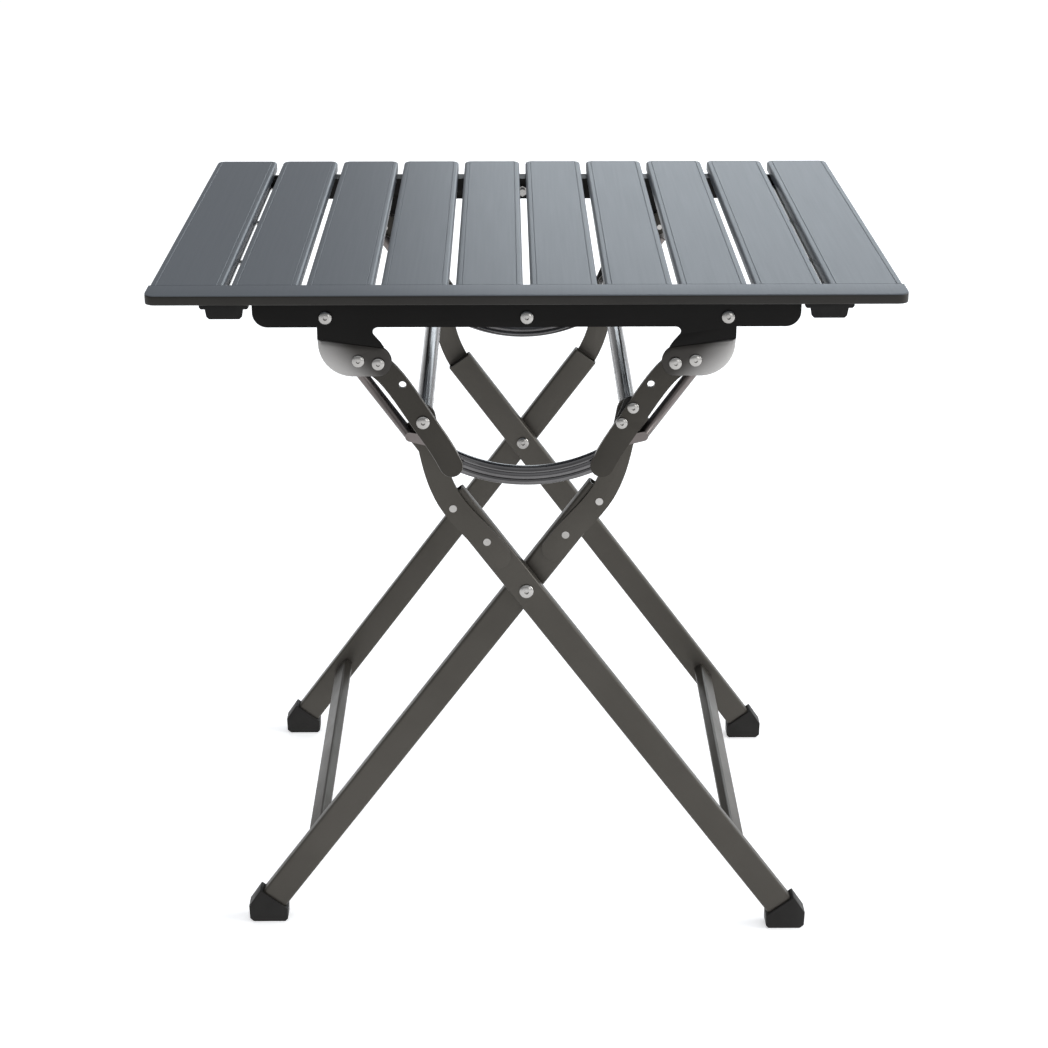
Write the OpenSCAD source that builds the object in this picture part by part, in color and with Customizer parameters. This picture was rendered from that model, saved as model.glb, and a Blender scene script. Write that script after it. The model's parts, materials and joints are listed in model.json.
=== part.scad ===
// Folding side table: a slatted metal top on two crossed leg frames.
// The frames are one design; frame B is frame A turned half a turn about Z.
// Frame B hangs from two knee bolts. The cross tube of frame A rests in two catches.
// Origin: floor level, under the middle of the top. Front is -Y.

/* [Tabletop] */
// Width of the top, across the slats
top_w = 600; // [592:2:620]
// Depth of the top, along the slats
top_d = 486; // [482:2:500]
// Height of the top's upper face above the floor
top_h = 600; // [598:1:606]
// Thickness of the slats and the front rail
slat_t = 8; // [7:0.5:9]
// Gap between two slats
slat_gap = 6; // [5:0.5:8]
// Distance from one slat to the next
slat_pitch = 59.5; // [59.2:0.1:59.8]
// Depth of the front rail
rail_d = 32; // [30:1:34]

/* [Legs] */
// Height of the centre pivots
pivot_h = 330; // [328:1:332]
// Slope of a leg from the floor, in degrees
leg_angle = 53.65; // [53.4:0.05:53.9]
// Width of a leg tube, seen from the front
leg_w = 25; // [22:1:26]
// Thickness of a leg tube
leg_t = 12; // [11:0.5:12.5]
// Wall of the leg tubes
leg_wall = 1.6; // [1.2:0.1:2]

/* [Knees] */
// Distance of the knee axes from the middle
knee_x = 84; // [83:0.5:85]
// Height of the knee axes
knee_z = 487; // [486:0.5:488]
// Radius of the cross tubes
tube_r = 7; // [6:0.5:7]
// Radius of the bolts at the knees and the centre pivots
bolt_r = 4; // [3:0.5:4]

/* [Hidden] */
$fn = 48;
clear = 0.06;      // radial clearance of a running pin
gap = 0.3;         // face to face gap between parts that turn
slats = 10;
slat_wall = 1.6;
slat_lip = 18;
rivet_y = 205;     // rows of rivets between the slats and the aprons
plate_t = 3;
arm_t = 4;
bay = 11.5;        // room between the arms and the leg frames

// Faces from outside to inside, as distances from the middle plane
apron_y = 222;
arm_y = apron_y - plate_t;
bay_y = arm_y - arm_t;
out_plate_y = bay_y - bay;             // outer knee plate
out_leg_y = out_plate_y - plate_t;     // outer leg
in_plate_y = out_leg_y - leg_t - 0.5;  // inner knee plate
in_leg_y = in_plate_y - plate_t;       // inner leg
in_face_y = in_leg_y - leg_t;

under_z = top_h - slat_t;
apron_z = under_z - 24;
apron_w = 436;
tab_outer_z = apron_z - 10;            // the tab's lower edge slopes from its outer to its inner corner
tab_inner_z = apron_z - 17;
side_rail_x = 4 * slat_pitch;
side_flange = 19.5;
side_rivet_x = side_flange - 2.5;
side_front = -top_d / 2 + 9;           // front and rear ends of the side rails
side_rear = top_d / 2 - 28;
cap_t = 4;                             // thickness of the caps on those ends
side_rivets_y = [-150, 0, 150];
rail_rivet_y = -top_d / 2 + 17;
stub_y = bay_y - plate_t - gap;
leg_up = 106;
leg_down = 388;
stretcher_s = 317;
knee = [knee_x, knee_z];
pivot = [0, pivot_h];
apron_bolt_x = 160;
apron_bolt_z = under_z - 16;
apron_bolt_r = bolt_r - 1;
apron_bolts = [for (x = [-apron_bolt_x, 0, apron_bolt_x]) [x, apron_bolt_z]];
edge_step = 0.5;                       // how far the front rail stands out beside the edge slats
edge_slat_w = top_w / 2 - edge_step - 4 * slat_pitch - slat_gap / 2;

// Middle line of a link arm, from its lug on the apron to its tip
arm_line = [[158, 574], [140, 546], [121, 537], [106, 522], knee, [69, 464], [61.5, 449]];
// Middle line of a knee plate, from the knee down to the leg
plate_line = [knee, [78, 452], [71, 427], [60, 406], [33, 376], [24, 363]];
plate_rivets = [[61, 406], [33, 376]];
head_rivets_at = [[135, 540], [119, 537.5]];
catch_bolts_at = [[86, 499], [77, 486]];
arm_hole = [100, 519];

// ---- Helpers ----

// Extrudes a front-view outline (x, z) between two distances from the middle plane.
// side is -1 at the front and 1 at the rear.
module plate(y_out, y_in, side = -1) {
    low = side < 0 ? -y_out : y_in;
    translate([0, low + y_out - y_in, 0]) rotate([90, 0, 0]) linear_extrude(y_out - y_in) children();
}

// A round bar along Y at the front-view point p
module bar(p, r, y_out, y_in, side = -1) {
    plate(y_out, y_in, side) translate(p) circle(r);
}

// Points of an arc about c, from angle a0 to angle a1
function arc(c, r, a0, a1, n = 12) = [for (k = [0 : n]) let (a = a0 + (a1 - a0) * k / n) c + r * [cos(a), sin(a)]];

// Cuts the corners of a line n times, which makes it a smooth curve with the same ends
function smooth(line, n) = n == 0 ? line : smooth(concat([line[0]],
    [for (i = [0 : len(line) - 2], t = [0.25, 0.75]) line[i] * (1 - t) + line[i + 1] * t],
    [line[len(line) - 1]]), n - 1);

function heading(line, i) = let (d = line[min(i + 1, len(line) - 1)] - line[max(i - 1, 0)]) atan2(d[1], d[0]);

// Outline of a strip along a line, with round ends; its half width runs from r[0] to r[1]
function ribbon(line, r) =
    let (
        n = len(line) - 1,
        step = (r[1] - r[0]) / n,
        across = [for (i = [0 : n]) let (h = heading(line, i)) (r[0] + i * step) * [-sin(h), cos(h)]],
        start = heading(line, 0),
        end = heading(line, n)
    )
    concat(
        [for (i = [0 : n]) line[i] + across[i]],
        arc(line[n], r[1], end + 75, end - 75, 10),
        [for (i = [n : -1 : 0]) line[i] - across[i]],
        arc(line[0], r[0], start - 105, start - 255, 10)
    );

module rounded(size, r) {
    translate([r, 0]) square([size[0] - 2 * r, size[1]]);
    translate([0, r]) square([size[0], size[1] - 2 * r]);
    for (x = [r, size[0] - r], y = [r, size[1] - r]) translate([x, y]) circle(r);
}

// A low button head with a hex socket, standing out from y_face
module button_head(p, r, h, y_face, side = -1) {
    translate([p[0], side * y_face, p[1]]) rotate([side < 0 ? 90 : -90, 0, 0]) difference() {
        rotate_extrude() polygon([[0, 0], [r, 0], [r, h * 0.35], [r * 0.84, h * 0.78], [r * 0.5, h], [0, h]]);
        translate([0, 0, h * 0.45]) cylinder(h = h, r = r * 0.34, $fn = 6);
    }
}

module left_or_right(left) {
    if (left) mirror([1, 0, 0]) children();
    else children();
}

// Turns a piece of frame A into the same piece of frame B
module as_b() { rotate([0, 0, 180]) children(); }

// Draws its children in the frame of a leg of frame A: +Y up the leg, from the centre pivot
module on_leg() { translate(pivot) rotate(leg_angle - 90) children(); }

// ---- Top ----

// Left edge and width of slat i, counted from 0 at the left
function slat_x(i) = i == 0 ? -top_w / 2 + edge_step : (i - slats / 2) * slat_pitch + slat_gap / 2;
function slat_width(i) = (i == 0 || i == slats - 1) ? edge_slat_w : slat_pitch - slat_gap;
function slat_mid(i) = slat_x(i) + slat_width(i) / 2;
// Place of the rivets through the inner lip of a slat
function rivet_x(i) = slat_mid(i) - sign(slat_mid(i)) * (slat_width(i) / 2 - slat_lip / 2 - 1);

// Where the slats beside the outer gaps are riveted to the side rails
function side_rivet_points() = [for (s = [-1, 1], t = [-1, 1], y = side_rivets_y)
    [s * (side_rail_x + t * side_rivet_x), y]];
// Where the front rail is riveted to the side rails
function rail_rivet_points() = [for (s = [-1, 1], t = [-1, 1])
    [s * (side_rail_x + t * side_rivet_x), rail_rivet_y]];

module slat(i) {
    w = slat_width(i);
    x = slat_x(i);
    rear = top_d / 2;
    front = -top_d / 2 + rail_d;
    round_r = 5;
    color([0.45, 0.48, 0.52]) difference() {
        intersection() {
            translate([x, rear, under_z]) rotate([90, 0, 0]) linear_extrude(rear - front) {
                difference() {
                    square([w, slat_t]);
                    translate([slat_wall, slat_wall]) square([w - 2 * slat_wall, slat_t - 2 * slat_wall]);
                    translate([slat_lip, -1]) square([w - 2 * slat_lip, slat_wall + 2]);
                }
            }
            translate([x, front - 10, under_z - 1]) linear_extrude(slat_t + 2)
                rounded([w, rear - front + 10], round_r);
        }
        if (i > 0 && i < slats - 1) for (side = [-1, 1])
            translate([rivet_x(i), side * rivet_y, under_z - 1]) cylinder(h = slat_wall + 2, r = 2);
        for (p = side_rivet_points()) translate([p[0], p[1], under_z - 1]) cylinder(h = slat_wall + 2, r = 2);
    }
}

// Box section with round front corners and a long slot in its underside
module front_rail() {
    wall = 2;
    lip = 8;
    slot = 2 * (side_rail_x - side_flange - 12);
    color([0.36, 0.37, 0.38]) translate([-top_w / 2, -top_d / 2, under_z]) difference() {
        linear_extrude(slat_t) {
            translate([9, 0]) square([top_w - 18, rail_d]);
            translate([0, 9]) square([top_w, rail_d - 9]);
            for (x = [9, top_w - 9]) translate([x, 9]) circle(9);
        }
        translate([wall + 8, wall, wall]) cube([top_w - 2 * wall - 16, rail_d - 2 * wall, slat_t - 2 * wall]);
        translate([(top_w - slot) / 2, lip, -1]) cube([slot, rail_d - 2 * lip, wall + 2]);
        for (p = rail_rivet_points()) translate([p[0] + top_w / 2, p[1] + top_d / 2, -1])
            cylinder(h = wall + 2, r = 2);
    }
}

// Hat-section rail of bare aluminium under the gap beside each edge slat, with long slots in its crown
module side_rail(left) {
    foot = 13.2;
    crown = 11.5;
    deep = 12;
    wall = 1.6;
    slot_w = 13;
    slot_l = 130;
    left_or_right(left) color([0.7, 0.7, 0.71]) difference() {
        translate([side_rail_x, side_rear, under_z]) rotate([90, 0, 0]) linear_extrude(side_rear - side_front)
            difference() {
                polygon([[-side_flange, 0], [-side_flange, -2], [-foot, -2], [-crown, -deep],
                         [crown, -deep], [foot, -2], [side_flange, -2], [side_flange, 0]]);
                polygon([[-foot + wall, 1], [-crown + wall, -deep + wall], [crown - wall, -deep + wall],
                         [foot - wall, 1]]);
            }
        for (p = concat(side_rivet_points(), rail_rivet_points())) translate([p[0], p[1], under_z - 3])
            cylinder(h = 4, r = 2);
        for (y = [-1, 0, 1] * (slot_l + 10)) translate([side_rail_x - slot_w / 2, y - slot_l / 2, under_z - deep - 1])
            cube([slot_w, slot_l, wall + 2]);
    }
}

// Stepped plastic plates that close the ends of the side rails
module rail_caps() {
    step = 4.5;
    deep = 12.5;
    half = [[side_flange, 0], [side_flange, -3], [side_flange - 1.5, -step], [15, -step], [14, 2 - deep],
            [12, -deep]];
    color([0.08, 0.08, 0.08]) for (s = [-1, 1], y = [side_front, side_rear + cap_t])
        translate([s * side_rail_x, y, under_z]) rotate([90, 0, 0]) linear_extrude(cap_t)
            polygon(concat(half, [for (i = [len(half) - 1 : -1 : 0]) [-half[i][0], half[i][1]]]));
}

module apron_outline() {
    r = 12;
    translate([-apron_w / 2, apron_z + r]) square([apron_w, under_z - apron_z - r]);
    translate([-apron_w / 2 + r, apron_z]) square([apron_w - 2 * r, r + 1]);
    for (s = [-1, 1]) translate([s * (apron_w / 2 - r), apron_z + r]) circle(r);
    for (left = [true, false]) mirror([left ? 1 : 0, 0])
        polygon(concat([[167, apron_z + 2], [167, tab_outer_z], [114, tab_inner_z], [117, tab_inner_z + 4.5]],
                       arc([118.5, apron_z - 4.3], 4.3, -30, 90), [[118.5, apron_z + 2]]));
}

module apron(side) {
    shelf = 22;
    color([0.08, 0.08, 0.08]) {
        difference() {
            union() {
                plate(apron_y, arm_y, side) apron_outline();
                translate([-apron_w / 2, side < 0 ? -apron_y : apron_y - shelf, under_z - 2])
                    cube([apron_w, shelf, 2]);
            }
            for (p = apron_bolts) bar(p, apron_bolt_r, apron_y + 1, arm_y - 1, side);
            for (i = [1 : slats - 2]) translate([rivet_x(i), side * rivet_y, under_z - 3])
                cylinder(h = 4, r = 2);
        }
    }
}

// Blind rivet through a support of thickness below and a wall above, which meet at under_z
module blind_rivet(p, above) {
    below = 2;
    translate([p[0], p[1], under_z - below - 1]) cylinder(h = 1, r = 3.4);
    translate([p[0], p[1], under_z - below]) cylinder(h = below + above, r = 2);
    translate([p[0], p[1], under_z + above]) cylinder(h = 1, r = 2.8);
}

module slat_rivets() {
    color("gainsboro") {
        for (side = [-1, 1], i = [1 : slats - 2])
            blind_rivet([rivet_x(i), side * rivet_y], slat_wall);
        for (p = side_rivet_points()) blind_rivet(p, slat_wall);
    }
}

module rail_rivets() {
    color("gainsboro") for (p = rail_rivet_points()) blind_rivet(p, 2);
}

module arm(left, side) {
    left_or_right(left) color([0.22, 0.21, 0.19]) plate(arm_y, bay_y, side) difference() {
        polygon(ribbon(smooth(arm_line, 2), [10.3, 9.6]));
        translate(arm_hole) circle(3);
        translate([apron_bolt_x, apron_bolt_z]) circle(apron_bolt_r);
        for (p = head_rivets_at) translate(p) circle(2.5);
        if (left) translate(knee) circle(bolt_r);
        else for (p = catch_bolts_at) translate(p) circle(2.5);
    }
}

// Rounded cover plate below the apron's tab, riveted through the arm
module head_plate(left, side) {
    left_or_right(left) color([0.4, 0.39, 0.38]) plate(apron_y, arm_y, side) difference() {
        polygon(concat(arc([121.5, 539], 13.5, 115, 250), arc([139, 554], 27.7, 265, 360),
                       [[167, tab_outer_z]]));
        for (p = head_rivets_at) translate(p) circle(2.5);
    }
}

// Round rod from the head plate's arm lug down to a flat foot on the arm
module brace(left, side) {
    top = [137, 531];
    low = [95, 473];
    run = top - low;
    left_or_right(left) color([0.62, 0.6, 0.58]) {
        translate([low[0], side * (bay_y - 4.5), low[1]]) rotate([0, atan2(run[0], run[1]), 0])
            cylinder(h = norm(run), r = 4.5);
        plate(bay_y, bay_y - 4.5, side) polygon(ribbon([low, [81, 470]], [4, 4.5]));
    }
}

// Flattened round bar bent to a shallow arc between the tips of two arms
module bow(side) {
    half = 62;
    sag = 15;
    arc_r = (half * half + sag * sag) / (2 * sag);
    reach = asin(half / arc_r);
    color([0.7, 0.71, 0.73]) translate([0, side * (bay_y - 5.25), 438 + arc_r]) rotate([90, 0, 0])
        rotate([0, 0, -90 - reach]) rotate_extrude(angle = 2 * reach, $fn = 120) translate([arc_r, 0]) {
            translate([-2.75, -5.25]) square([5.5, 10.5]);
            for (s = [-1, 1]) translate([s * 2.75, 0]) circle(5.25);
        }
}

// Cradle that holds the cross tube of frame A: a back plate and half a ring
module catch(side) {
    ring_r = tube_r + 4.3;
    mouth = 120;
    color([0.12, 0.12, 0.12]) {
        plate(bay_y, bay_y - plate_t, side) difference() {
            polygon(ribbon([knee, [85.5, 499]], [ring_r, 8]));
            for (p = catch_bolts_at) translate(p) circle(2.5);
        }
        plate(bay_y - plate_t, bay_y - plate_t - 6, side) translate(knee) rotate(mouth) difference() {
            circle(ring_r);
            circle(tube_r + gap);
            translate([0, -ring_r - 1]) square([ring_r + 1, 2 * ring_r + 2]);
        }
    }
}

module apron_bolts_group() {
    color("silver") for (side = [-1, 1], p = apron_bolts) {
        seat = p[0] == 0 ? arm_y : bay_y;
        button_head(p, 5.4, 3, apron_y, side);
        bar(p, apron_bolt_r, apron_y, bay_y - 4, side);
        difference() {
            plate(seat, seat - 3, side) translate(p) circle(5.5, $fn = 6);
            bar(p, apron_bolt_r, apron_y, bay_y - 5, side);
        }
    }
}

module head_rivets() {
    color("silver") for (side = [-1, 1], left = [true, false], p = head_rivets_at) left_or_right(left) {
        button_head(p, 5.2, 2.4, apron_y, side);
        bar(p, 2.5, apron_y, bay_y, side);
    }
}

module catch_bolts() {
    color("silver") for (side = [-1, 1], p = catch_bolts_at) {
        button_head(p, 4.9, 2.6, arm_y, side);
        bar(p, 2.5, arm_y, bay_y - plate_t, side);
    }
}

// Each knee bolt runs through an arm and a spacer, and carries a knee plate of frame B
module knee_bolts() {
    color("silver") mirror([1, 0, 0]) {
        for (side = [-1, 1]) button_head(knee, 5.7, 3, arm_y, side);
        bar(knee, bolt_r, arm_y, out_leg_y - 4, -1);
        bar(knee, bolt_r, arm_y, in_leg_y - 4, 1);
    }
}

module knee_spacers() {
    color([0.3, 0.3, 0.3]) mirror([1, 0, 0]) {
        plate(bay_y, out_plate_y + gap, -1) translate(knee) ring(6.5, bolt_r);
        plate(bay_y, in_plate_y + gap, 1) translate(knee) ring(6.5, bolt_r);
    }
}

module ring(outer, inner) {
    difference() {
        circle(outer);
        circle(inner);
    }
}

// ---- Leg frames, drawn as frame A: foot at the left, knee at the right ----

// y_out is the outer face of the tube; hole_r is the radius of its centre pivot hole
module leg(y_out, side, hole_r) {
    color([0.27, 0.26, 0.24]) difference() {
        plate(y_out, y_out - leg_t, side) on_leg()
            translate([-leg_w / 2, -leg_down]) square([leg_w, leg_down + leg_up]);
        plate(y_out - leg_wall, y_out - leg_t + leg_wall, side) on_leg()
            translate([-leg_w / 2 + leg_wall, -leg_down - 1])
                square([leg_w - 2 * leg_wall, leg_down + leg_up + 2]);
        bar(pivot, hole_r, y_out + 1, y_out - leg_t - 1, side);
        for (p = plate_rivets) bar(p, 2, y_out + 1, y_out - leg_wall - 1, side);
    }
}

// Knee plate: an S-shaped strip with a shelf on its outer side
module knee_plate(y_out, side, hole_r) {
    color([0.24, 0.23, 0.21]) plate(y_out, y_out - plate_t, side) difference() {
        union() {
            polygon(ribbon(smooth(plate_line, 2), [9.5, 11]));
            polygon([[80, 484], [90, 484], [101, 479], [102, 475], [83, 449], [74, 449]]);
        }
        translate(knee) circle(hole_r);
        for (p = plate_rivets) translate(p) circle(2);
    }
}

module plate_rivet_set() {
    color("silver") for (p = plate_rivets) {
        for (s = [[in_plate_y, -1], [out_plate_y, 1]]) {
            bar(p, 2, s[0], s[0] - plate_t - leg_wall, s[1]);
            bar(p, 3.2, s[0] + 0.3, s[0], s[1]);
        }
    }
}

module stretcher() {
    wide = 20;
    thick = 10;
    wall = 1.5;
    color([0.27, 0.26, 0.24]) translate([0, out_leg_y - leg_t, 0]) rotate([90, 0, 0])
        linear_extrude(out_leg_y - leg_t + in_face_y) on_leg() translate([0, -stretcher_s]) difference() {
            translate([-thick / 2, -wide / 2]) rounded([thick, wide], 2.5);
            translate([-thick / 2 + wall, -wide / 2 + wall]) rounded([thick - 2 * wall, wide - 2 * wall], 1.5);
        }
}

// Plastic boot: a sloping collar round the leg and a flat sole
module boot(y_out, side) {
    skin = 2.5;
    color([0.13, 0.13, 0.13]) difference() {
        plate(y_out + skin, y_out - leg_t - skin, side)
            polygon([[-215, 13], [-215.3, 2.5], [-217.5, 0], [-246, 0], [-249.5, 3], [-249.8, 16], [-239, 32]]);
        plate(y_out, y_out - leg_t, side) on_leg()
            translate([-leg_w / 2, -leg_down]) square([leg_w, leg_down]);
    }
}

// Tube between the two knee plates of a frame
module cross_tube(front, rear) {
    wall = 1.5;
    color([0.66, 0.67, 0.69]) translate([knee_x, rear, knee_z]) rotate([90, 0, 0]) difference() {
        cylinder(h = front + rear, r = tube_r);
        translate([0, 0, -1]) cylinder(h = front + rear + 2, r = tube_r - wall);
    }
}

// ---- Centre pivots, fixed in the legs of frame B ----

module pivot_pins() {
    head_r = 6.2;
    color("silver") {
        bar(pivot, bolt_r, out_leg_y, in_face_y - gap, -1);
        button_head(pivot, head_r, 3, out_leg_y, -1);
        bar(pivot, head_r, in_face_y - gap, in_face_y - gap - 3, -1);
        bar(pivot, bolt_r, out_leg_y + gap, in_face_y, 1);
        bar(pivot, head_r, out_leg_y + gap + 3, out_leg_y + gap, 1);
        bar(pivot, head_r, in_face_y, in_face_y - 3, 1);
    }
}

module pivot_washers() {
    color([0.3, 0.3, 0.3]) {
        plate(out_leg_y - leg_t, in_leg_y + gap, -1) translate(pivot) ring(9, bolt_r);
        plate(out_leg_y - leg_t - gap, in_leg_y, 1) translate(pivot) ring(9, bolt_r);
    }
}

// ---- Nodes ----

for (i = [0 : slats - 1]) slat(i);
front_rail();
side_rail(true);  // side_rail_left
side_rail(false);  // side_rail_right
rail_caps();
apron(-1);  // apron_front
apron(1);  // apron_rear
slat_rivets();
rail_rivets();
for (side = [-1, 1], left = [true, false]) {
    place = str(side < 0 ? "_front" : "_rear", left ? "_left" : "_right");
    arm(left, side);
    head_plate(left, side);
    brace(left, side);
}
bow(-1);  // bow_front
bow(1);  // bow_rear
catch(-1);  // catch_front
catch(1);  // catch_rear
apron_bolts_group();  // apron_bolts
head_rivets();
catch_bolts();
knee_bolts();
knee_spacers();
leg(in_leg_y, -1, bolt_r + clear);  // leg_a_front
leg(out_leg_y, 1, bolt_r + clear);  // leg_a_rear
knee_plate(in_plate_y, -1, tube_r);  // knee_plate_a_front
knee_plate(out_plate_y, 1, tube_r);  // knee_plate_a_rear
cross_tube(stub_y, stub_y);  // cross_tube_a
stretcher();  // stretcher_a
boot(in_leg_y, -1);  // boot_a_front
boot(out_leg_y, 1);  // boot_a_rear
plate_rivet_set();  // plate_rivets_a
as_b() leg(out_leg_y, 1, bolt_r);  // leg_b_front
as_b() leg(in_leg_y, -1, bolt_r);  // leg_b_rear
as_b() knee_plate(out_plate_y, 1, bolt_r + clear);  // knee_plate_b_front
as_b() knee_plate(in_plate_y, -1, bolt_r + clear);  // knee_plate_b_rear
as_b() cross_tube(in_leg_y, out_leg_y);  // cross_tube_b
as_b() stretcher();  // stretcher_b
as_b() boot(out_leg_y, 1);  // boot_b_front
as_b() boot(in_leg_y, -1);  // boot_b_rear
as_b() plate_rivet_set();  // plate_rivets_b
pivot_pins();
pivot_washers();
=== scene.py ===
"""Folding side table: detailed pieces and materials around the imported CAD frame.

Metres, +Z up, the front is -Y. Loops of points are skinned into closed meshes by loft().
"""
import json
import math

import bmesh
import bpy
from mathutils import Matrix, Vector

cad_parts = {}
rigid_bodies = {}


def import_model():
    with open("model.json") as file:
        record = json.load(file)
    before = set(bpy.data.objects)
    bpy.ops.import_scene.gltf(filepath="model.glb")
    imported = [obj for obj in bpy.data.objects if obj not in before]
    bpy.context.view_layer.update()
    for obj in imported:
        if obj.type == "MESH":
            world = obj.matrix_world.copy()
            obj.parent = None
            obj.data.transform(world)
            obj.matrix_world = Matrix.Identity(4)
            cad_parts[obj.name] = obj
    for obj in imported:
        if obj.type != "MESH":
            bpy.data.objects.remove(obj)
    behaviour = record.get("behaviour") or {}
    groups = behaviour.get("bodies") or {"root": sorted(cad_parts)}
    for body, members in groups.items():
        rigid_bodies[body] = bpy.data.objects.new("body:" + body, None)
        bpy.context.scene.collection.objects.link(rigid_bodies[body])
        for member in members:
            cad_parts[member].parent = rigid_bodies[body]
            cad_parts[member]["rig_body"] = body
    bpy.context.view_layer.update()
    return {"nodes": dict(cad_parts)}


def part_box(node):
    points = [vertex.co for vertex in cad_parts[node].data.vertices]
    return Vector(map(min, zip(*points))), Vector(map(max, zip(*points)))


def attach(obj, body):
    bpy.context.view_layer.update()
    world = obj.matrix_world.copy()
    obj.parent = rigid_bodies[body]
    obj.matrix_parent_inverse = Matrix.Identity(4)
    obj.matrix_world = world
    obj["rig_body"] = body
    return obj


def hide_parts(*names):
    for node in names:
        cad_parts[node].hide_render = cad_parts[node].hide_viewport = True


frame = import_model()

MM = 0.001
SIDES = ("front", "rear")
HANDS = ("left", "right")
SLATS = 10
X_AXIS, Y_AXIS, Z_AXIS = Vector((1, 0, 0)), Vector((0, 1, 0)), Vector((0, 0, 1))

PIVOT_Z = 0.330                         # height of the bolts where the legs cross
LEG_SLOPE = math.radians(53.65)         # of the open legs, from the floor
LEG_ABOVE, LEG_BELOW = 106 * MM, 388 * MM   # length of a leg on each side of its pivot
LEG_WIDE, LEG_WALL = 25 * MM, 1.6 * MM
NUT_R, NUT_H = 5.6 * MM, 3 * MM
APRON_THICK = 3 * MM

WELD = 0.00001                          # points closer than this are one point
CREASE = math.radians(40)               # a sharper edge counts as an edge of the part
NOISE_LOW, NOISE_HIGH = 0.3, 0.7        # where most of a noise texture's values lie
HIGHLIGHT_STARTS, HIGHLIGHT_FULL = -0.416, -0.370     # |x| - z on a head plate, where the painted highlight starts and where it is full


# ---- Materials ----

def new_material(name):
    """An empty node material: returns the material, its nodes, its links and its shader."""
    material = bpy.data.materials.new(name)
    material.use_nodes = True
    nodes = material.node_tree.nodes
    return material, nodes, material.node_tree.links, nodes["Principled BSDF"]


def noise(nodes, links, scale, detail=3.0, stretch=(1, 1, 1)):
    """A noise texture in the object's own axes. stretch is a scale along each axis."""
    place = nodes.new("ShaderNodeTexCoord")
    mapping = nodes.new("ShaderNodeMapping")
    mapping.inputs["Scale"].default_value = stretch
    texture = nodes.new("ShaderNodeTexNoise")
    texture.inputs["Scale"].default_value = scale
    texture.inputs["Detail"].default_value = detail
    links.new(place.outputs["Object"], mapping.inputs["Vector"])
    links.new(mapping.outputs["Vector"], texture.inputs["Vector"])
    return texture


def tint(nodes, links, shader, texture, low, high):
    """Base colour that wanders between two colours with a texture."""
    ramp = nodes.new("ShaderNodeValToRGB")
    ramp.color_ramp.elements[0].position = NOISE_LOW
    ramp.color_ramp.elements[0].color = (*low, 1)
    ramp.color_ramp.elements[1].position = NOISE_HIGH
    ramp.color_ramp.elements[1].color = (*high, 1)
    links.new(texture.outputs["Fac"], ramp.inputs["Fac"])
    links.new(ramp.outputs["Color"], shader.inputs["Base Color"])


def roughen(nodes, links, shader, texture, low, high):
    """Roughness that wanders between two values with a texture."""
    spread = nodes.new("ShaderNodeMapRange")
    spread.inputs["From Min"].default_value = NOISE_LOW
    spread.inputs["From Max"].default_value = NOISE_HIGH
    spread.inputs["To Min"].default_value = low
    spread.inputs["To Max"].default_value = high
    links.new(texture.outputs["Fac"], spread.inputs["Value"])
    links.new(spread.outputs["Result"], shader.inputs["Roughness"])


def emboss(nodes, links, shader, texture, strength, depth):
    """Bump from a texture. depth is in metres."""
    bump = nodes.new("ShaderNodeBump")
    bump.inputs["Strength"].default_value = strength
    bump.inputs["Distance"].default_value = depth
    links.new(texture.outputs["Fac"], bump.inputs["Height"])
    links.new(bump.outputs["Normal"], shader.inputs["Normal"])


def powder_coat(name, low, high, rough, metallic=0.0, gloss=0.3):
    """Satin powder coat: fine orange peel, and slow drift of colour and gloss."""
    material, nodes, links, shader = new_material(name)
    shader.inputs["Metallic"].default_value = metallic
    shader.inputs["Specular IOR Level"].default_value = gloss
    tint(nodes, links, shader, noise(nodes, links, scale=9.0, detail=4.0), low, high)
    roughen(nodes, links, shader, noise(nodes, links, scale=22.0, detail=5.0),
            rough - 0.05, rough + 0.06)
    emboss(nodes, links, shader, noise(nodes, links, scale=1500.0, detail=2.0),
           strength=0.25, depth=0.00004)
    return material


def brushed_paint(name, low, high, rough):
    """Paint over an extrusion whose drawing lines, along the slats, just show."""
    material, nodes, links, shader = new_material(name)
    shader.inputs["Specular IOR Level"].default_value = 0.35
    lines = noise(nodes, links, scale=420.0, detail=3.0, stretch=(1, 0.02, 1))
    tint(nodes, links, shader, noise(nodes, links, scale=5.0, detail=4.0, stretch=(1, 0.35, 1)),
         low, high)
    roughen(nodes, links, shader, lines, rough - 0.012, rough + 0.015)
    emboss(nodes, links, shader, noise(nodes, links, scale=1700.0, detail=2.0),
           strength=0.22, depth=0.00004)
    return material


def polished(name, low, high, rough):
    """Polished metal with faint rubbing marks."""
    material, nodes, links, shader = new_material(name)
    shader.inputs["Metallic"].default_value = 1.0
    tint(nodes, links, shader, noise(nodes, links, scale=14.0, detail=5.0), low, high)
    roughen(nodes, links, shader, noise(nodes, links, scale=90.0, detail=6.0, stretch=(1, 0.2, 1)),
            rough - 0.04, rough + 0.08)
    emboss(nodes, links, shader, noise(nodes, links, scale=420.0, detail=4.0, stretch=(1, 0.1, 1)),
           strength=0.06, depth=0.00003)
    return material


def moulded(name, low, high, rough):
    """Moulded plastic with a fine spark-eroded grain."""
    material, nodes, links, shader = new_material(name)
    shader.inputs["Specular IOR Level"].default_value = 0.2
    tint(nodes, links, shader, noise(nodes, links, scale=40.0, detail=4.0), low, high)
    roughen(nodes, links, shader, noise(nodes, links, scale=130.0, detail=4.0),
            rough - 0.06, rough + 0.08)
    emboss(nodes, links, shader, noise(nodes, links, scale=2600.0, detail=3.0),
           strength=0.45, depth=0.00007)
    return material


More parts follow.
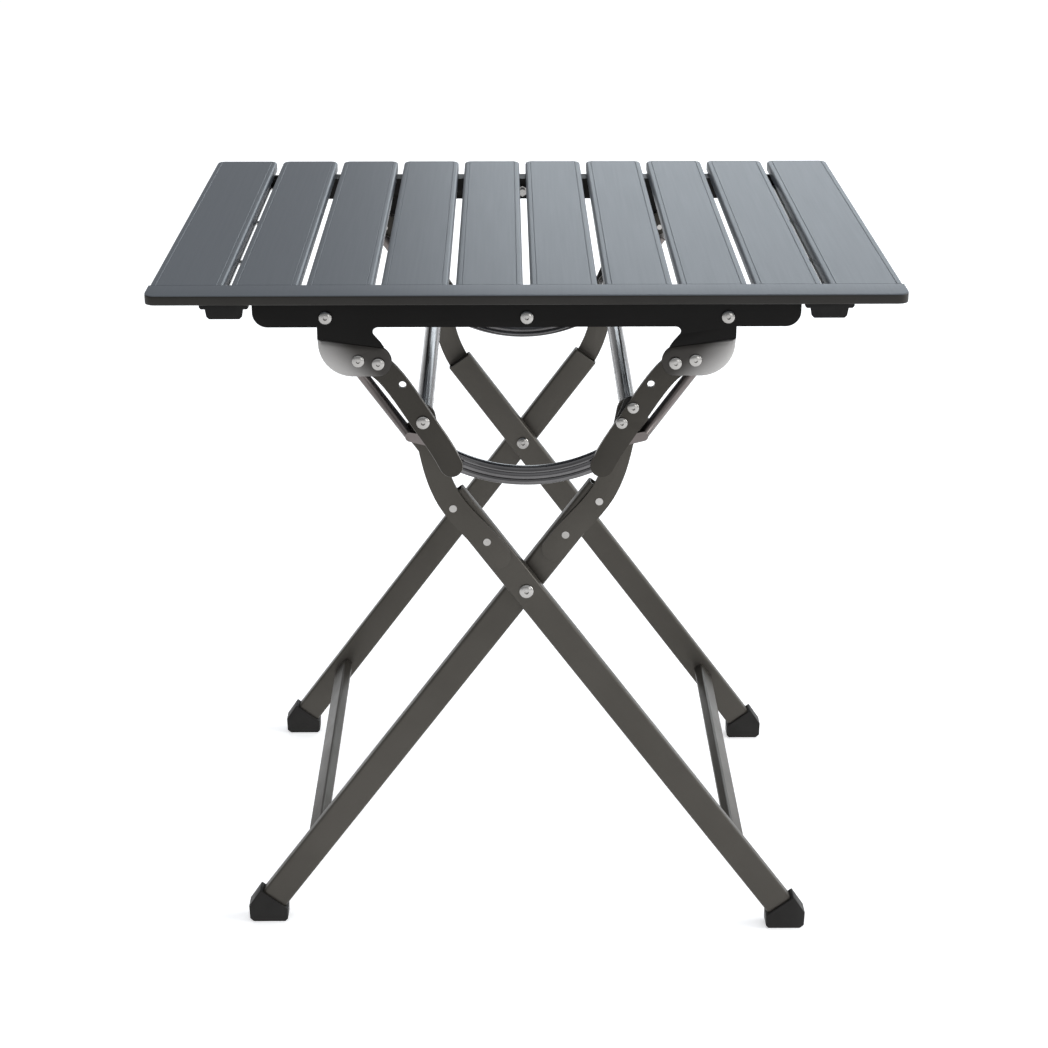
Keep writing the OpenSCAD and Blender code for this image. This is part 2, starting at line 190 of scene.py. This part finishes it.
def dish_metal(name, dark, bright, rough):
    """Pressed steel painted lighter towards the lower outer corner of each dish: a painted highlight
    where the dome catches the light.
    """
    material, nodes, links, shader = new_material(name)
    shader.inputs["Metallic"].default_value = 0.55
    place = nodes.new("ShaderNodeTexCoord")
    split = nodes.new("ShaderNodeSeparateXYZ")
    outward = nodes.new("ShaderNodeMath")
    outward.operation = "ABSOLUTE"
    corner = nodes.new("ShaderNodeMath")
    corner.operation = "SUBTRACT"
    spread = nodes.new("ShaderNodeMapRange")
    spread.interpolation_type = "SMOOTHSTEP"
    spread.inputs["From Min"].default_value = HIGHLIGHT_STARTS
    spread.inputs["From Max"].default_value = HIGHLIGHT_FULL
    links.new(place.outputs["Object"], split.inputs["Vector"])
    links.new(split.outputs["X"], outward.inputs[0])
    links.new(outward.outputs[0], corner.inputs[0])
    links.new(split.outputs["Z"], corner.inputs[1])
    links.new(corner.outputs[0], spread.inputs["Value"])
    ramp = nodes.new("ShaderNodeValToRGB")
    ramp.color_ramp.elements[0].color = (*dark, 1)
    ramp.color_ramp.elements[1].color = (*bright, 1)
    links.new(spread.outputs["Result"], ramp.inputs["Fac"])
    links.new(ramp.outputs["Color"], shader.inputs["Base Color"])
    roughen(nodes, links, shader, noise(nodes, links, scale=30.0, detail=4.0),
            rough - 0.04, rough + 0.06)
    emboss(nodes, links, shader, noise(nodes, links, scale=1500.0, detail=2.0),
           strength=0.15, depth=0.00003)
    return material


TOP = brushed_paint("top_paint", (0.081, 0.093, 0.109), (0.086, 0.099, 0.115), 0.42)
# The top paint made far darker for the rail's front face: painted shade, not a paint of its own.
RAIL_FACE_SHADE = powder_coat("rail_face_painted_shade", (0.012, 0.0105, 0.0085), (0.016, 0.0145, 0.012), 0.50)
BLACK = powder_coat("black_paint", (0.0025, 0.0022, 0.0018), (0.0045, 0.004, 0.0035), 0.46,
                    gloss=0.12)
LEG = powder_coat("leg_paint", (0.060, 0.055, 0.047), (0.075, 0.069, 0.060), 0.38, 0.5)
# The leg paint at about half its brightness, for the arms: painted shade under the top.
ARM_SHADED = powder_coat("arm_paint_shaded", (0.032, 0.029, 0.024), (0.042, 0.038, 0.032), 0.38, 0.5)
# Brighter, more metallic paint on the arms' edges: a painted highlight along the edges.
EDGE_HIGHLIGHT = powder_coat("arm_edge_painted_highlight", (0.14, 0.135, 0.125), (0.20, 0.19, 0.18), 0.32, 0.7)
# The bright end of the head plates' ramp is a painted highlight on the lower outer corner of each
# dome.
HEAD = dish_metal("head_steel", (0.030, 0.027, 0.024), (0.43, 0.42, 0.41), 0.32)
POLISHED = polished("polished_tube", (0.10, 0.097, 0.097), (0.17, 0.167, 0.17), 0.17)
BRACE = polished("brace_steel", (0.13, 0.115, 0.11), (0.20, 0.18, 0.175), 0.28)
RAIL = polished("bare_aluminium", (0.62, 0.61, 0.60), (0.74, 0.73, 0.72), 0.42)
STEEL = polished("stainless", (0.33, 0.32, 0.305), (0.47, 0.46, 0.445), 0.20)
PLASTIC = moulded("plastic", (0.010, 0.0092, 0.0085), (0.017, 0.016, 0.015), 0.5)
CAP = moulded("cap_plastic", (0.003, 0.0028, 0.0026), (0.005, 0.0046, 0.0042), 0.55)


# ---- Making pieces ----

def make_piece(name, bm, material, body, replaced, smooth_angle=35):
    """Turns a bmesh into a piece that rides on a body and stands for CAD nodes."""
    bmesh.ops.recalc_face_normals(bm, faces=bm.faces)
    mesh = bpy.data.meshes.new(name)
    bm.to_mesh(mesh)
    bm.free()
    for face in mesh.polygons:
        face.use_smooth = True
    mesh.set_sharp_from_angle(angle=math.radians(smooth_angle))
    for each in (material if isinstance(material, (list, tuple)) else [material]):
        mesh.materials.append(each)
    piece = bpy.data.objects.new(name, mesh)
    bpy.context.scene.collection.objects.link(piece)
    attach(piece, body)
    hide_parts(*replaced)
    return piece


def loft(bm, rings):
    """Skins a list of rings with equal numbers of points, and caps both ends."""
    made = [[bm.verts.new(p) for p in ring] for ring in rings]
    count = len(made[0])
    for a, b in zip(made, made[1:]):
        for i in range(count):
            j = (i + 1) % count
            bm.faces.new((a[i], a[j], b[j], b[i]))
    bm.faces.new(made[0][::-1])
    bm.faces.new(made[-1])


def round_rect(w, h, r, steps=4):
    """Outline of a rectangle with round corners, centred, as (x, y) pairs."""
    points = []
    for cx, cy, start in ((1, 1, 0), (-1, 1, 90), (-1, -1, 180), (1, -1, 270)):
        for k in range(steps + 1):
            a = math.radians(start + 90 * k / steps)
            points.append((cx * (w / 2 - r) + r * math.cos(a), cy * (h / 2 - r) + r * math.sin(a)))
    return points


def circle(r, count=48):
    """Outline of a circle as (x, y) pairs."""
    turns = [2 * math.pi * k / count for k in range(count)]
    return [(r * math.cos(a), r * math.sin(a)) for a in turns]


def quarter(steps, first=0):
    """The angles of a quarter turn in equal steps, from step first on."""
    return [math.radians(90 * k / steps) for k in range(first, steps + 1)]


def placed(outline, origin, u, v):
    """Puts (x, y) pairs at origin, along the directions u and v."""
    return [origin + u * x + v * y for x, y in outline]


def cad_mesh(node, flat_angle=None):
    """A bmesh of a CAD node with its points welded, and faces flatter than flat_angle joined."""
    bm = bmesh.new()
    bm.from_mesh(frame["nodes"][node].data)
    bmesh.ops.remove_doubles(bm, verts=bm.verts, dist=WELD)
    if flat_angle:
        bmesh.ops.dissolve_limit(bm, angle_limit=math.radians(flat_angle), verts=bm.verts,
                                 edges=bm.edges)
    return bm


def softened(name, node, material, width, min_len, segments=3, rim=None):
    """A copy of a CAD node with round outer edges. Only convex edges over min_len are rounded.

    rim is the material of the edges of a plate that faces front and rear; on the arms it is a
    painted highlight.
    """
    facing = 0.93
    bm = cad_mesh(node, 1.0)
    bmesh.ops.recalc_face_normals(bm, faces=bm.faces)
    sharp = [
        e for e in bm.edges
        if len(e.link_faces) == 2 and e.calc_face_angle(0) > CREASE and e.is_convex
        and e.calc_length() > min_len
    ]
    if sharp:
        bmesh.ops.bevel(bm, geom=sharp, offset=width, segments=segments, profile=0.5,
                        affect="EDGES", clamp_overlap=True)
    # Faces that don't face front or rear get rim, which on the arms is a painted highlight.
    if rim:
        bm.normal_update()
        for face in bm.faces:
            face.material_index = 0 if abs(face.normal.y) > facing else 1
    materials = [material, rim] if rim else material
    return make_piece(name, bm, materials, body_of(node), [node])


def body_of(node):
    return frame["nodes"][node]["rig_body"]


# ---- Top ----

def slat(number):
    """An extruded slat: rolled edges, a fine line inside each, lips below, round rear corners."""
    node = f"slat_{number}"
    low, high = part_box(node)
    half = (high.x - low.x) / 2
    mid = (high.x + low.x) / 2
    tall = high.z - low.z
    edge, wall, lip = 2.2 * MM, 1.6 * MM, 18 * MM
    line_at, line_w, line_d = 5.0 * MM, 0.35 * MM, 0.35 * MM
    side = [(0.0, 0.0), (0.0, tall - edge)]
    side += [(edge - edge * math.cos(a), tall - edge + edge * math.sin(a)) for a in quarter(6, 1)]
    side += [(line_at - line_w, tall), (line_at, tall - line_d), (line_at + line_w, tall)]
    under = [(wall, wall), (wall, tall - wall)]
    corner = 5 * MM
    stations = [(low.y, 0.0), (high.y - corner, 0.0)]
    stations += [(high.y - corner + corner * math.sin(a), corner - corner * math.cos(a))
                 for a in quarter(8, 1)]
    rings = []
    for y, inset in stations:
        right = [(half - inset - x, z) for x, z in side[::-1]]
        right += [(half - lip, 0.0), (half - lip, wall)]
        right += [(half - inset - x, z) for x, z in under]
        ring = right + [(-x, z) for x, z in right[::-1]]
        rings.append([Vector((mid + x, y, low.z + z)) for x, z in ring])
    bm = bmesh.new()
    loft(bm, rings)
    return make_piece(f"{node}_extrusion", bm, TOP, "top", [node], 40)


def front_rail():
    """The rail across the front: rolled top edge, a front face in a darker copy of the top paint as
    painted shade, round corners.
    """
    low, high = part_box("front_rail")
    corner, edge, foot, break_edge = 9 * MM, 2.0 * MM, 1.2 * MM, 0.6 * MM
    tall = high.z - low.z
    deep = high.y - low.y
    front = [(foot, 0.0)]
    front += [(foot - foot * math.sin(a), foot - foot * math.cos(a)) for a in quarter(4, 1)]
    front += [(edge - edge * math.cos(a), tall - edge + edge * math.sin(a)) for a in quarter(6)]
    rear = [(break_edge, tall), (0.0, tall - break_edge), (0.0, 0.0)]
    stations = [(low.x + corner - corner * math.cos(a), corner - corner * math.sin(a))
                for a in quarter(10)]
    stations += [(-x + low.x + high.x, inset) for x, inset in stations[::-1]]
    rings = []
    for x, inset in stations:
        ring = [Vector((x, low.y + inset + y, low.z + z)) for y, z in front]
        ring += [Vector((x, low.y + deep - y, low.z + z)) for y, z in rear]
        rings.append(ring)
    bm = bmesh.new()
    loft(bm, rings)
    # Faces in front and below the rolled top edge get the darker copy: painted shade on the front
    # face.
    face_top, face_rear = high.z - edge * 0.3, high.y - deep * 0.6
    for face in bm.faces:
        centre = face.calc_center_median()
        if centre.z < face_top and centre.y < face_rear:
            face.material_index = 1
    return make_piece("front_rail_section", bm, [TOP, RAIL_FACE_SHADE], "top", ["front_rail"],
                      40)


# Rings of a head plate from its rim to its middle: share of the outline, share of the swell
DISH = ((1.0, 0.0), (1.0, 0.35), (0.992, 0.52), (0.97, 0.72), (0.93, 0.95), (0.87, 1.2),
        (0.79, 1.42), (0.69, 1.6), (0.57, 1.74), (0.42, 1.85), (0.25, 1.92), (0.1, 1.95))
DISH_MIDDLE = (0.52, 0.56)              # share of the plate's width and height
FLAT_SWELL, EXTRA_SWELL = 0.52, 0.7     # over the arm, and what the outer corner has beyond it
SWELL_FROM = 0.45                       # share of the width where the extra swell starts


def head_plate(side, hand):
    """A pressed dish: it swells out towards its lower outer corner and runs out flat on the arm."""
    node = f"head_plate_{side}_{hand}"
    low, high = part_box(node)
    out = -1 if side == "front" else 1
    mirror = -1 if hand == "left" else 1
    rim_y = low.y if out > 0 else high.y
    outline = outer_loop(node, rim_y)
    inner_x, outer_x = (low.x, high.x) if mirror > 0 else (high.x, low.x)
    thick = high.y - low.y
    mid_x, mid_z = DISH_MIDDLE
    centre = Vector((inner_x + (outer_x - inner_x) * mid_x, 0, low.z + (high.z - low.z) * mid_z))
    rings = []
    for scale, rise in DISH:
        ring = []
        for p in outline:
            x = centre.x + (p.x - centre.x) * scale
            share = min(max((x - inner_x) / (outer_x - inner_x), 0), 1)
            outer = min(max((share - SWELL_FROM) / (1 - SWELL_FROM), 0), 1)
            swell = FLAT_SWELL + EXTRA_SWELL * outer * outer * (3 - 2 * outer)
            z = centre.z + (p.z - centre.z) * scale
            ring.append(Vector((x, rim_y + out * thick * rise * swell, z)))
        rings.append(ring)
    bm = bmesh.new()
    loft(bm, rings)
    return make_piece(f"{node}_pressing", bm, HEAD, "top", [node], 50)


def outer_loop(node, y):
    """The longest loop of edges of a CAD plate that lies at depth y, in order."""
    near = 5 * WELD
    bm = cad_mesh(node, 0.5)
    left = {e for e in bm.edges if all(abs(v.co.y - y) < near for v in e.verts)
            and e.calc_face_angle(0) > CREASE}
    loops = []
    while left:
        edge = min(left, key=lambda e: e.index)
        left.discard(edge)
        start, here = edge.verts
        loop = [start, here]
        while here != start:
            step = [e for e in here.link_edges if e in left]
            if not step:
                break
            left.discard(step[0])
            here = step[0].other_vert(here)
            loop.append(here)
        loops.append([v.co.copy() for v in loop[:-1]])
    bm.free()
    return max(loops, key=lambda loop: sum((a - b).length for a, b in zip(loop, loop[1:])))


def bow(side):
    """Polished flattened tube bent to a shallow arc, with three beads pressed along it."""
    node = f"bow_{side}"
    low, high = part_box(node)
    half, sag, tall, deep = 62 * MM, 15 * MM, 16 * MM, high.y - low.y
    flatness = 0.6
    radius = (half * half + sag * sag) / (2 * sag)
    middle = Vector((0, (low.y + high.y) / 2, low.z + tall / 2 + radius))
    reach = math.asin(half / radius)
    points, steps = 72, 64
    groove_at, groove_w, groove_d = 2.6 * MM, 0.9 * MM, 1.3 * MM
    profile = []
    for k in range(points):
        a = 2 * math.pi * k / points
        x = tall / 2 * math.cos(a)
        y = deep / 2 * math.copysign(abs(math.sin(a)) ** flatness, math.sin(a))
        dip = sum(math.exp(-((x - at) / groove_w) ** 2) for at in (-groove_at, groove_at))
        dip *= groove_d
        profile.append((x, math.copysign(max(abs(y) - dip, 0), y)))
    rings = []
    for k in range(steps + 1):
        a = -reach + 2 * reach * k / steps
        outward = Vector((math.sin(a), 0, -math.cos(a)))
        rings.append(placed(profile, middle + outward * radius, outward, Y_AXIS))
    bm = bmesh.new()
    loft(bm, rings)
    return make_piece(f"{node}_bar", bm, POLISHED, "top", [node], 50)


# ---- Legs ----

def leg(frame_name, side):
    """Rectangular tube with round corners, open at its upper end."""
    node = f"leg_{frame_name}_{side}"
    low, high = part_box(node)
    lean = 1 if frame_name == "a" else -1
    along = Vector((lean * math.cos(LEG_SLOPE), 0, math.sin(LEG_SLOPE)))
    across = Vector((lean * math.sin(LEG_SLOPE), 0, -math.cos(LEG_SLOPE)))
    pivot = Vector((0, (low.y + high.y) / 2, PIVOT_Z))
    thick = high.y - low.y
    lip, bore = 0.3 * MM, 60 * MM
    outer = round_rect(LEG_WIDE, thick, 2.6 * MM, 5)
    inner = round_rect(LEG_WIDE - 2 * LEG_WALL, thick - 2 * LEG_WALL, 1.1 * MM, 5)
    lipped = round_rect(LEG_WIDE - 2 * lip, thick - 2 * lip, 2.3 * MM, 5)
    rings = [placed(outline, pivot + along * at, across, Y_AXIS) for outline, at in (
        (outer, -LEG_BELOW), (outer, LEG_ABOVE - lip), (lipped, LEG_ABOVE), (inner, LEG_ABOVE),
        (inner, LEG_ABOVE - bore))]
    bm = bmesh.new()
    loft(bm, rings)
    return make_piece(f"{node}_tube", bm, LEG, f"frame_{frame_name}", [node], 40)


# Section of a weld bead: distance from the plate and height over the tube, in millimetres
BEAD = ((0.0, 0.0), (0.2, 1.1), (1.0, 1.5), (2.0, 1.1), (2.6, 0.0))


def cross_tube(frame_name):
    """Polished tube with open ends and a weld bead where it meets each knee plate."""
    node = f"cross_tube_{frame_name}"
    low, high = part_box(node)
    x, z = (low.x + high.x) / 2, (low.z + high.z) / 2
    r = (high.x - low.x) / 2
    wall, edge, deep = 1.5 * MM, 0.4 * MM, 40 * MM
    bore = r - wall
    sections = [(low.y + deep, bore), (low.y, bore), (low.y, r - edge), (low.y + edge, r)]
    front_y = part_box(f"knee_plate_{frame_name}_front")[1].y
    rear_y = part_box(f"knee_plate_{frame_name}_rear")[0].y
    sections += [(front_y + d * MM, r + h * MM) for d, h in BEAD]
    sections += [(rear_y - d * MM, r + h * MM) for d, h in BEAD[::-1]]
    sections += [(high.y - edge, r), (high.y, r - edge), (high.y, bore), (high.y - deep, bore)]
    rings = [placed(circle(radius), Vector((x, y, z)), X_AXIS, Z_AXIS) for y, radius in sections]
    bm = bmesh.new()
    loft(bm, rings)
    return make_piece(f"{node}_welded", bm, POLISHED, f"frame_{frame_name}", [node],
                      45)


# ---- Fasteners ----

def hexagon(radius, count=48):
    """A hexagon drawn with as many points as a circle. radius is to its corners."""
    points = []
    for k in range(count):
        a = 2 * math.pi * k / count
        off_flat = (a + math.pi / 6) % (math.pi / 3) - math.pi / 6
        r = radius * math.cos(math.pi / 6) / math.cos(off_flat)
        points.append((r * math.cos(a), r * math.sin(a)))
    return points


def raised(bm, face, out, levels):
    """Skins (outline, height) levels that stand on face and point along out."""
    v = out.cross(X_AXIS)
    loft(bm, [placed(outline, face + out * height, X_AXIS, v) for outline, height in levels])


def button_head(bm, face, out, r, h):
    """A domed head with a hex socket, standing on face and pointing along out."""
    levels = [(circle(r), 0), (circle(r), h * 0.25)]
    for k in range(1, 8):
        a = math.radians(11 * k)
        levels.append((circle(r * math.cos(a) ** 0.8), h * (0.25 + 0.75 * math.sin(a))))
    levels += [(circle(r * 0.40), h * 0.97), (hexagon(r * 0.34), h * 0.93)]
    levels.append((hexagon(r * 0.33), h * 0.35))
    raised(bm, face, out, levels)


def shank(bm, start, end, r):
    axis = end - start
    raised(bm, start, axis.normalized(), [(circle(r, 32), 0), (circle(r, 32), axis.length)])


def nut(bm, face, out, r, h):
    """A hexagon nut with chamfered ends and a blind bore."""
    raised(bm, face, out, [(hexagon(r * 0.94), 0), (hexagon(r), h * 0.08), (hexagon(r), h * 0.85),
                           (hexagon(r * 0.93), h), (circle(r * 0.5), h), (circle(r * 0.5), h * 0.6)])


def islands(node):
    """Boxes of a CAD group's fasteners: the solids that share an axis and a side count as one."""
    bm = cad_mesh(node)
    seen = set()
    boxes = []
    for seed in bm.verts:
        if seed in seen:
            continue
        seen.add(seed)
        stack = [seed]
        low, high = seed.co.copy(), seed.co.copy()
        while stack:
            for edge in stack.pop().link_edges:
                for vert in edge.verts:
                    if vert not in seen:
                        seen.add(vert)
                        stack.append(vert)
                        low = Vector(map(min, low, vert.co))
                        high = Vector(map(max, high, vert.co))
        boxes.append([low, high])
    bm.free()
    joined = []
    for low, high in boxes:
        middle = (low + high) / 2
        for other in joined:
            centre = (other[0] + other[1]) / 2
            one_axis = abs(centre.x - middle.x) < MM and abs(centre.z - middle.z) < MM
            if one_axis and centre.y * middle.y > 0:
                other[0] = Vector(map(min, other[0], low))
                other[1] = Vector(map(max, other[1], high))
                break
        else:
            joined.append([low, high])
    return joined


def fastener(bm, box, head_h, shank_r, tail=None):
    """A button head at the outer end of a box, and its shank. tail is None, "head" or "nut"."""
    low, high = box
    side = 1 if low.y + high.y > 0 else -1
    out = Vector((0, side, 0))
    x, z = (low.x + high.x) / 2, (low.z + high.z) / 2
    r = (high.x - low.x) / 2
    outer, inner = (high.y, low.y) if side > 0 else (low.y, high.y)
    face = Vector((x, outer - side * head_h, z))
    end = Vector((x, inner, z))
    button_head(bm, face, out, r, head_h)
    if tail == "head":
        end += out * head_h
        button_head(bm, end, -out, r, head_h)
    if tail == "nut":
        middle_bolt = abs(x) < 10 * MM
        apron_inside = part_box("apron_rear")[1].y - APRON_THICK
        seat = apron_inside if middle_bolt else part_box("arm_rear_left")[0].y
        nut(bm, Vector((x, side * seat, z)), -out, NUT_R, NUT_H)
    shank(bm, face, end, shank_r)


def fastener_set(node, body, head_h, shank_r, tail=None):
    """All the fasteners of a CAD group as one piece, with tails as in fastener()."""
    bm = bmesh.new()
    for box in islands(node):
        fastener(bm, box, head_h, shank_r, tail)
    make_piece(f"{node}_set", bm, STEEL, body, [node], 45)


def fasteners():
    fastener_set("apron_bolts", "top", 3 * MM, 3 * MM, "nut")
    fastener_set("head_rivets", "top", 2.4 * MM, 2.5 * MM)
    fastener_set("catch_bolts", "top", 2.6 * MM, 2.5 * MM)
    fastener_set("knee_bolts", "top", 3 * MM, 4 * MM)
    fastener_set("pivot_pins", "frame_b", 3 * MM, 4 * MM, "head")


# ---- All pieces ----

def soften(node, suffix, material, width, min_len, segments=3, rim=None):
    """softened() for a piece named after its node, with width and min_len in millimetres."""
    softened(f"{node}_{suffix}", node, material, width * MM, min_len * MM, segments, rim)


def build():
    for number in range(1, SLATS + 1):
        slat(number)
    front_rail()
    for side in SIDES:
        soften(f"apron_{side}", "pressing", BLACK, 1.1, 1.2)
        bow(side)
        soften(f"catch_{side}", "clip", PLASTIC, 0.5, 0.8, 2)
        for hand in HANDS:
            # The arms are darker than the legs as painted shade, and their edges carry a painted
            # highlight.
            soften(f"arm_{side}_{hand}", "link", ARM_SHADED, 0.9, 1.2, rim=EDGE_HIGHLIGHT)
            head_plate(side, hand)
            soften(f"brace_{side}_{hand}", "rod", BRACE, 0.8, 3)
    softened("rail_cap_mouldings", "rail_caps", CAP, 0.5 * MM, 1 * MM)
    for name in ("a", "b"):
        cross_tube(name)
        soften(f"stretcher_{name}", "bar", LEG, 0.4, 2, 2)
        for side in SIDES:
            leg(name, side)
            soften(f"knee_plate_{name}_{side}", "strip", LEG, 0.7, 1.2)
            soften(f"boot_{name}_{side}", "moulding", PLASTIC, 0.9, 2, 4)
    fasteners()
    finishes = {
        "side_rail_left": RAIL, "side_rail_right": RAIL,
        "slat_rivets": STEEL, "rail_rivets": STEEL,
        "plate_rivets_a": STEEL, "plate_rivets_b": STEEL,
        "knee_spacers": PLASTIC, "pivot_washers": PLASTIC,
    }
    for node, material in finishes.items():
        data = frame["nodes"][node].data
        data.materials.clear()
        data.materials.append(material)


# ---- Floor, light and camera ----

def studio():
    world = bpy.data.worlds.new("studio")
    bpy.context.scene.world = world
    world.use_nodes = True
    nodes, links = world.node_tree.nodes, world.node_tree.links
    place = nodes.new("ShaderNodeTexCoord")
    split = nodes.new("ShaderNodeSeparateXYZ")
    ramp = nodes.new("ShaderNodeValToRGB")
    stops = ramp.color_ramp.elements
    stops[0].position, stops[0].color = 0.0, (0.72, 0.73, 0.74, 1)
    stops[1].position, stops[1].color = 1.0, (0.95, 0.97, 1.0, 1)
    middle = ramp.color_ramp.elements.new(0.35)
    middle.color = (0.34, 0.345, 0.355, 1)
    links.new(place.outputs["Generated"], split.inputs["Vector"])
    links.new(split.outputs["Z"], ramp.inputs["Fac"])
    links.new(ramp.outputs["Color"], nodes["Background"].inputs["Color"])
    nodes["Background"].inputs["Strength"].default_value = 0.9

    bpy.ops.mesh.primitive_plane_add(size=60, location=(0, 0, 0))
    floor = bpy.context.object
    floor.name = "floor"
    material, _, _, shader = new_material("floor")
    shader.inputs["Base Color"].default_value = (0.95, 0.95, 0.955, 1)
    shader.inputs["Roughness"].default_value = 0.9
    shader.inputs["Emission Color"].default_value = (1, 1, 1, 1)
    shader.inputs["Emission Strength"].default_value = 0.45
    floor.data.materials.append(material)

    def area(name, place, aim, size, power, colour=(1, 1, 1)):
        lamp = bpy.data.lights.new(name, "AREA")
        lamp.shape = "RECTANGLE"
        lamp.size, lamp.size_y = size
        lamp.energy = power
        lamp.color = colour
        obj = bpy.data.objects.new(name, lamp)
        obj.location = place
        obj.rotation_euler = (Vector(aim) - Vector(place)).to_track_quat("-Z", "Y").to_euler()
        obj.visible_camera = False
        bpy.context.scene.collection.objects.link(obj)

    area("key_right", (2.6, -0.2, 1.6), (0, 0, 0.4), (1.8, 1.8), 46)
    area("rear_right", (1.05, 3.1, 1.5), (0.1, 0, 0.55), (2.6, 1.1), 25, (0.86, 0.94, 1.0))
    area("front_fill", (1.4, -2.6, 1.1), (0, 0, 0.35), (1.2, 1.0), 7)


CAMERA_AT = (-0.017, -1.906, 1.068)
CAMERA_PITCH, CAMERA_YAW = 21.65, 0.5   # degrees down, and degrees to the right
CAMERA_LENS = 75.6


def camera():
    """A long lens a little above the top, turned slightly to the right."""
    data = bpy.data.cameras.new("camera")
    data.sensor_width = 36
    data.lens = CAMERA_LENS
    data.clip_end = 100
    obj = bpy.data.objects.new("camera", data)
    obj.location = CAMERA_AT
    obj.rotation_euler = (math.radians(90 - CAMERA_PITCH), 0, math.radians(-CAMERA_YAW))
    bpy.context.scene.collection.objects.link(obj)
    bpy.context.scene.camera = obj


build()
studio()
camera()
bpy.context.scene.view_settings.view_transform = "Standard"
